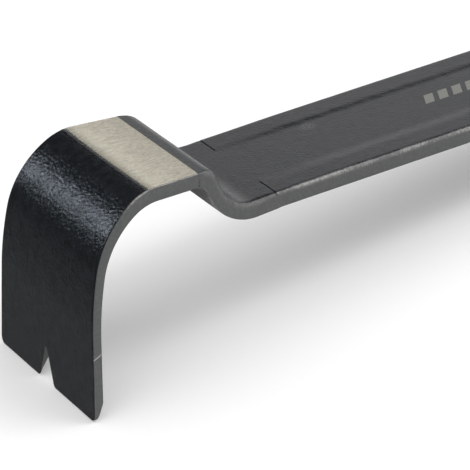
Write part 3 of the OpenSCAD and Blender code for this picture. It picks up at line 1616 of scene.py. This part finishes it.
@dataclass
class Shank:
    """The ribbed shank and the plain stretch with the keyhole nail puller."""

    bar: ForgedBar
    layout: Layout
    coating: bpy.types.Material
    marked: bpy.types.Material
    edge_round: float = 1.15
    under_round: float = 0.6
    hole_round: float = 0.35
    rim_wear: float = 0.8

    def build(self) -> None:
        """Builds the shank and the nail hole section."""
        rings = [self.ring(x) for x in steps(0.0, self.bar.shank_len, 1.0)]
        RibbedStretch("shank", self.bar, rings).forge(self.layout, self.marked)
        self.hole_section()

    def ring(self, x: float) -> Ring:
        """Returns a ring of the straight shank."""
        return Ring(Place(x, 0.0, 180.0), Place(x, -self.bar.web_t, 180.0), -x,
                    self.edge_round, self.under_round)

    def hole_section(self) -> bpy.types.Object:
        """Builds the plain stretch with the keyhole from half its plan.

        Returns:
            The piece.
        """
        bar = self.bar
        bm = bmesh.new()
        start, end = bar.shank_len, bar.foot_x()
        centre = start + bar.hole_lead
        tip = centre - bar.hole_reach + bar.hole_tip_r
        outline = [(start, 0.0), (tip - bar.hole_tip_r, 0.0)]
        outline += [(tip - bar.hole_tip_r * math.cos(math.radians(a)),
                     bar.hole_tip_r * math.sin(math.radians(a))) for a in range(10, 91, 10)]
        meet = self.keyhole_corner()
        outline += [(centre - bar.hole_r * math.cos(math.radians(a)),
                     bar.hole_r * math.sin(math.radians(a))) for a in steps(meet, 180.0, 6.0)]
        outline += [(end, 0.0), (end, bar.half_width(end, 0.0)), (start, bar.half_width(start, 0.0))]
        verts = [bm.verts.new((x, y, 0.0)) for x, y in outline]
        bm.faces.new(verts)
        bmesh.ops.mirror(bm, geom=bm.verts[:] + bm.edges[:] + bm.faces[:], axis="Y", merge_dist=0.001)
        bmesh.ops.recalc_face_normals(bm, faces=bm.faces)
        raised = bmesh.ops.extrude_face_region(bm, geom=bm.faces[:])
        moved = [v for v in raised["geom"] if isinstance(v, bmesh.types.BMVert)]
        bmesh.ops.translate(bm, vec=(0.0, 0.0, -bar.web_t), verts=moved)
        bmesh.ops.recalc_face_normals(bm, faces=bm.faces)
        self.round_off(bm, start, end)
        piece = Stretch("nail_hole_section", bar, [])
        self.dress_flat(bm)
        bmesh.ops.transform(bm, matrix=self.layout.matrix, verts=bm.verts)
        piece.finish_mesh(bm)
        made = piece.placed(bm, self.coating)
        made.modifiers.new("even_shading", "WEIGHTED_NORMAL").keep_sharp = True
        return made

    def keyhole_corner(self) -> float:
        """Finds where the keyhole's narrow part meets its round end.

        Returns:
            The angle at the round end's centre, in degrees.
        """
        bar = self.bar
        slope = (bar.hole_neck - bar.hole_tip_r) / (bar.hole_reach - bar.hole_tip_r)
        across = bar.hole_neck
        for _ in range(12):
            across = bar.hole_neck - slope * math.sqrt(bar.hole_r ** 2 - across ** 2)
        return math.degrees(math.asin(across / bar.hole_r))

    def round_off(self, bm: bmesh.types.BMesh, start: float, end: float) -> None:
        """Rounds the long edges and the keyhole's rims.

        Args:
            bm: The mesh.
            start: Where the section starts.
            end: Where it ends.
        """
        sharp = [e for e in bm.edges if len(e.link_faces) == 2 and e.calc_face_angle() > 1.0
                 and abs(e.verts[0].co.z - e.verts[1].co.z) < 1e-6]
        inner = [e for e in sharp if start + 1 < min(v.co.x for v in e.verts)
                 and max(v.co.x for v in e.verts) < end - 1]
        for height, reach in ((0.0, self.edge_round), (-self.bar.web_t, self.under_round)):
            outer = [e for e in bm.edges if e.is_valid and len(e.link_faces) == 2
                     and min(abs(v.co.y) for v in e.verts) > self.bar.shank_w / 2 - 0.01
                     and max(abs(v.co.z - height) for v in e.verts) < 1e-6
                     and abs(e.verts[0].co.x - e.verts[1].co.x) > 1]
            rounded(bm, outer, reach, 5)
        rounded(bm, [e for e in inner if e.is_valid], self.hole_round, 2, clamp=True)

    def dress_flat(self, bm: bmesh.types.BMesh) -> None:
        """Gives the keyhole section the values that its coating reads.

        Args:
            bm: The mesh, in the bar's frame.
        """
        side, wear_and_painted_light, bare = dress_layers(bm)
        for vert in bm.verts:
            width = self.bar.half_width(vert.co.x, 0.0)
            hole = math.hypot(vert.co.x - self.bar.shank_len - self.bar.hole_lead, vert.co.y)
            vert[side] = eased(width - self.edge_round, width, abs(vert.co.y))
            vert[wear_and_painted_light] = self.rim_wear if abs(hole - self.bar.hole_r) < 0.3 else 0.0
            vert[bare] = -1.0


@dataclass
class FlatClaw:
    """The foot bend and the flat blade with its two tines."""

    bar: ForgedBar
    layout: Layout
    coating: bpy.types.Material
    start_round: float = 1.15
    edge_round: float = 0.9
    under_round: float = 0.5
    tip_corner: float = 1.6
    slot_corner: float = 1.2

    def build(self) -> None:
        """Builds the foot bend, the blade and the tines."""
        self.foot().forge(self.layout, self.coating)
        self.blade().forge(self.layout, self.coating)
        for side in Side:
            self.tine(side).forge(self.layout, self.coating)

    def foot(self) -> Stretch:
        """Makes the bend that lays the blade flat.

        Returns:
            The stretch.
        """
        rings = []
        for turn in steps(0.0, self.bar.rest_tilt(), 0.45):
            top = Place(self.bar.foot_x(), 0.0, 0.0).swept(self.bar.foot_r, turn)
            under = Place(self.bar.foot_x(), -self.bar.web_t, 0.0).swept(
                self.bar.foot_r + self.bar.web_t, turn)
            rounding = between(self.start_round, self.edge_round, turn / self.bar.rest_tilt())
            rings.append(Ring(top, under, 0.0, rounding, self.under_round))
        return Stretch("foot_bend", self.bar, rings)

    def thickness(self, gone: float) -> float:
        """Thins the blade towards its tips.

        Args:
            gone: Distance after the foot bend.

        Returns:
            The thickness.
        """
        bevel_at = self.bar.flat_len - self.bar.flat_bevel
        if gone < bevel_at:
            return between(self.bar.web_t, self.bar.flat_t, gone / bevel_at)
        return between(self.bar.flat_t, self.bar.tip_t, (gone - bevel_at) / self.bar.flat_bevel)

    def ring(self, gone: float, **extra: float) -> Ring:
        """Makes a ring of the flat blade.

        Args:
            gone: Distance after the foot bend.
            extra: Further values of the ring.

        Returns:
            The ring.
        """
        under = self.bar.foot_end().ahead(gone)
        thick = self.thickness(gone)
        top = under.inside(thick)
        return Ring(top, under, gone, min(self.edge_round, 0.35 * thick),
                    min(self.under_round, 0.25 * thick), **extra)

    def split_at(self) -> float:
        """Returns the distance from the foot bend to the centre of the slot's root."""
        return self.bar.flat_len - self.bar.flat_slot_len + self.bar.slot_root_r

    def blade(self) -> Stretch:
        """Makes the flat blade up to the slot's root.

        Returns:
            The stretch.
        """
        split, root = self.split_at(), self.bar.slot_root_r
        rings = [self.ring(p) for p in steps(0.0, split - 2 * root, 0.8)]
        for share in ROOT_SHARES:
            rings.append(self.ring(split - 2 * root * (1 - share), shift=share))
        return SlottedStretch("flat_blade", self.bar, rings, lanes=140)

    def tine(self, side: Side) -> Stretch:
        """Returns one tine.

        Args:
            side: The side it is on.

        Returns:
            The stretch.
        """
        split, tip = self.split_at(), self.bar.flat_len
        bevel_at = tip - self.bar.flat_bevel
        rings = []
        for place in steps(split, bevel_at, 0.6)[:-1] + steps(bevel_at, tip - 1.8, 0.6) + closing(tip, 1.7):
            share = (place - split) / (tip - split)
            edge = between(self.bar.slot_root_r, self.bar.flat_slot_w / 2, share)
            rings.append(self.ring(
                place, slot_edge=edge, pulled_in=Head.plan_round(tip - place, self.tip_corner),
                slot_opened=Head.plan_round(tip - place, self.slot_corner)))
        name = "left_tine" if side is Side.LEFT else "right_tine"
        return Stretch(name, self.bar, rings, lanes=34, side=side)


# ---------------------------------------------------------------- studio


@dataclass(frozen=True)
class Glow:
    """A soft bright part of the studio's surroundings."""

    toward: tuple[float, float, float]
    core: float
    reach: float
    level: float
    tint: Colour = (1.0, 1.0, 1.0)


@dataclass
class Studio:
    """The floor, the soft light and the camera."""

    floor_size: float = 12.0
    ambient: float = 0.98
    room: float = 0.03
    below: float = 0.17
    key_power: float = 6.0
    key_toward: tuple[float, float, float] = (0.48, -0.44, 0.76)
    key_distance: float = 1.3
    key_size: float = 0.55
    glows: tuple[Glow, ...] = (
        Glow((0.70, 0.70, 0.15), 22.5, 31.0, 0.75),
        Glow((-0.424, 0.808, 0.417), 1.5, 6.5, 13.0, (0.84, 0.93, 1.06)),
        Glow((0.332, -0.808, -0.487), 25.0, 62.0, 0.85),
        Glow((0.0, -0.3, 0.95), 20.0, 60.0, 0.35),
    )
    camera_at: tuple[float, float, float] = (-0.43200, -0.74554, 0.46592)
    camera_right: tuple[float, float, float] = (0.85279, -0.47764, -0.21122)
    camera_up: tuple[float, float, float] = (0.40321, 0.34510, 0.84754)
    lens: float = 255.06

    def build(self) -> None:
        """Sets up the whole studio."""
        self.floor()
        self.surroundings()
        self.lamp("key_light", Vector(self.key_toward), self.key_distance, self.key_size, self.key_power)
        self.camera()
        view = bpy.context.scene.view_settings
        view.view_transform = "Standard"
        view.look = "None"

    def floor(self) -> None:
        """Lays the plain pale floor just under the bar."""
        bm = bmesh.new()
        bmesh.ops.create_grid(bm, x_segments=8, y_segments=8, size=self.floor_size / 2)
        mesh = bpy.data.meshes.new("floor")
        bm.to_mesh(mesh)
        bm.free()
        mesh.transform(Matrix.Translation((0.0, 0.0, -0.0001)))
        floor = bpy.data.objects.new("floor", mesh)
        mesh.materials.append(FloorFinish().build())
        bpy.context.scene.collection.objects.link(floor)
        floor.visible_glossy = False

    def surroundings(self) -> None:
        """Makes the pale surroundings, which glossy metal sees as soft boxes in a dim room."""
        world = bpy.data.worlds.new("studio")
        bpy.context.scene.world = world
        world.use_nodes = True
        nodes = Nodes(world.node_tree)
        background = world.node_tree.nodes["Background"]
        toward = nodes.add("ShaderNodeTexCoord").outputs["Generated"]
        dim = nodes.ramp(nodes.axes(toward)[2], -0.40, 0.05, self.room + self.below, self.room)
        seen = nodes.add("ShaderNodeCombineXYZ")
        for socket in seen.inputs:
            nodes.join(dim, socket)
        total = seen.outputs["Vector"]
        for glow in self.glows:
            total = self.lit(nodes, toward, total, glow)
        glossy = nodes.add("ShaderNodeLightPath").outputs["Is Glossy Ray"]
        plain_light = (self.ambient, self.ambient, self.ambient)
        nodes.join(nodes.blend(glossy, plain_light, total), background.inputs["Color"])

    @staticmethod
    def lit(nodes: Nodes, toward: Socket, total: Socket,
            glow: Glow) -> Socket:
        """Adds one glow to the light so far.

        Args:
            nodes: The world's nodes.
            toward: The direction looked in.
            total: The light so far.
            glow: The glow.

        Returns:
            The new total.
        """
        dot = nodes.add("ShaderNodeVectorMath", operation="DOT_PRODUCT")
        nodes.join(toward, dot.inputs[0])
        dot.inputs[1].default_value = Vector(glow.toward).normalized()
        share = nodes.ramp(dot.outputs["Value"], math.cos(math.radians(glow.reach)),
                           math.cos(math.radians(glow.core)), 0.0, glow.level)
        tinted = nodes.add("ShaderNodeVectorMath", operation="SCALE")
        tinted.inputs[0].default_value = glow.tint
        nodes.join(share, tinted.inputs["Scale"])
        added = nodes.add("ShaderNodeVectorMath", operation="ADD")
        nodes.join(total, added.inputs[0])
        nodes.join(tinted.outputs["Vector"], added.inputs[1])
        return added.outputs["Vector"]

    def lamp(self, name: str, toward: Vector, distance: float, size: float, power: float) -> None:
        """Hangs a soft box that faces the bar.

        Args:
            name: Its name.
            toward: The direction from the bar to the lamp.
            distance: How far it hangs.
            size: The length of its sides.
            power: Its power in watts.
        """
        light = bpy.data.lights.new(name, "AREA")
        light.shape = "SQUARE"
        light.size = size
        light.energy = power
        lamp = bpy.data.objects.new(name, light)
        lamp.location = toward.normalized() * distance
        lamp.rotation_euler = toward.to_track_quat("Z", "Y").to_euler()
        bpy.context.scene.collection.objects.link(lamp)

    def camera(self) -> None:
        """Sets the camera, which looks down at the head from its right side."""
        right, up = Vector(self.camera_right), Vector(self.camera_up)
        back = right.cross(up)
        turn = Matrix((right, up, back)).transposed().to_4x4()
        data = bpy.data.cameras.new("camera")
        data.lens = self.lens
        data.sensor_width = 36.0
        data.clip_start = 0.01
        data.clip_end = 50.0
        camera = bpy.data.objects.new("camera", data)
        camera.matrix_world = Matrix.Translation(Vector(self.camera_at)) @ turn
        bpy.context.scene.collection.objects.link(camera)
        bpy.context.scene.camera = camera


def main() -> None:
    """Builds the studio and the pry bar."""
    logging.basicConfig(level=logging.INFO, format="%(message)s")
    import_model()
    Studio().build()
    bar = ForgedBar()
    layout = Layout(bar)
    coating = BarFinish().build(layout)
    marked = BarFinish("black_coating_marked", stains=SHANK_STAINS, marking=Marking()).build(layout)
    Head(bar, layout, coating).build()
    Shank(bar, layout, coating, marked).build()
    FlatClaw(bar, layout, coating).build()


if __name__ == "__main__":
    main()
